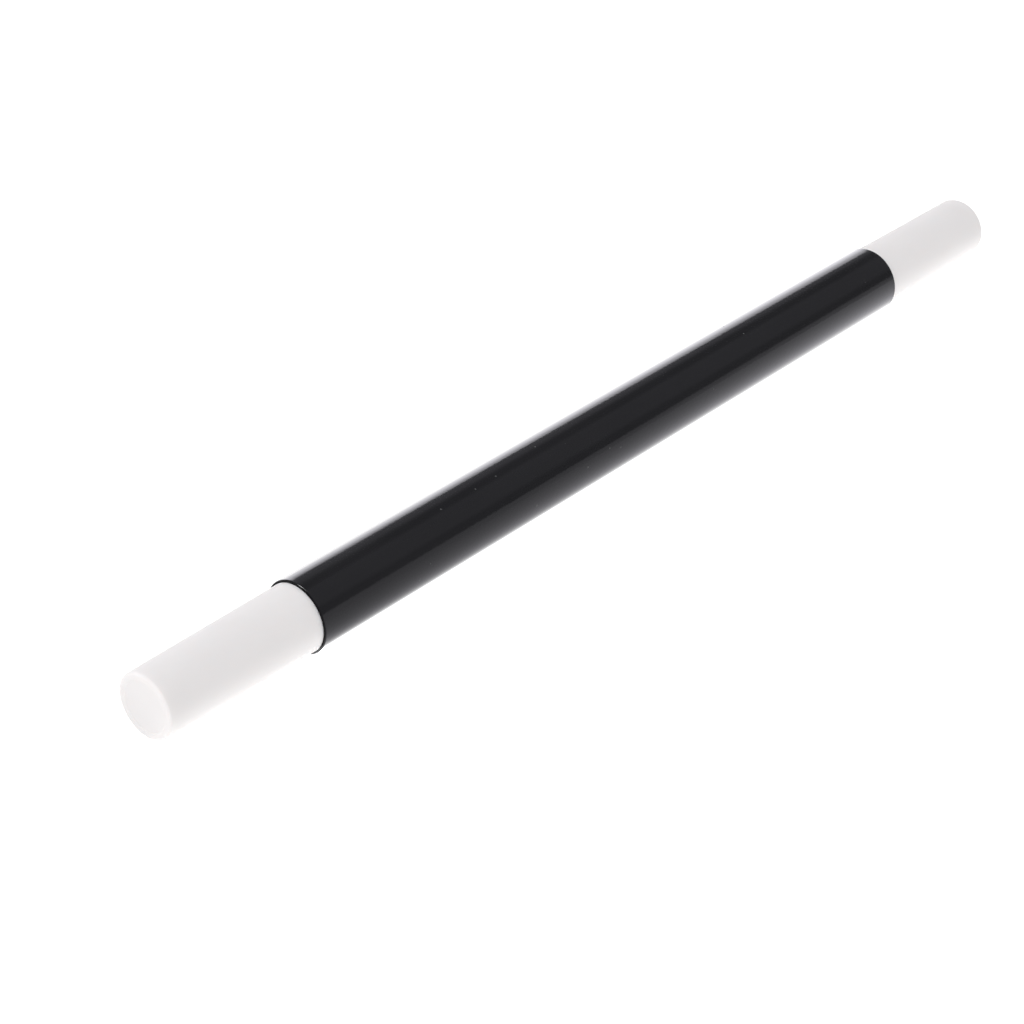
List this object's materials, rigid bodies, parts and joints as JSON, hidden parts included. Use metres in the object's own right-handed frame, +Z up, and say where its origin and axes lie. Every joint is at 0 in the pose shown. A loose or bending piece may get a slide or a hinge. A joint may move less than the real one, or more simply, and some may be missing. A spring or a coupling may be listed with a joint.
{
  "type": "magic wand",
  "caption": "Straight hollow black wand with a white tapered tip plugged into each end; the tips pull out.",
  "frame": {"origin": "on the wand's axis, half way between its two ends", "axes": "X runs along the wand, from the left tip to the right tip; Z is up when the wand is held level"},
  "size_m": [0.255, 0.015, 0.015],
  "materials": {
    "black_tube": "glossy black extruded plastic",
    "white_tip": "satin white moulded plastic"
  },
  "bodies": {
    "tube": {"tube": "black_tube"},
    "left_tip": {"left_tip": "white_tip"},
    "right_tip": {"right_tip": "white_tip"}
  },
  "joints": [
    {"name": "left_tip_pull", "type": "slide", "parent": "tube", "child": "left_tip", "axis": [-1, 0, 0], "range_m": [0, 0.02]},
    {"name": "right_tip_pull", "type": "slide", "parent": "tube", "child": "right_tip", "axis": [1, 0, 0], "range_m": [0, 0.02]}
  ]
}
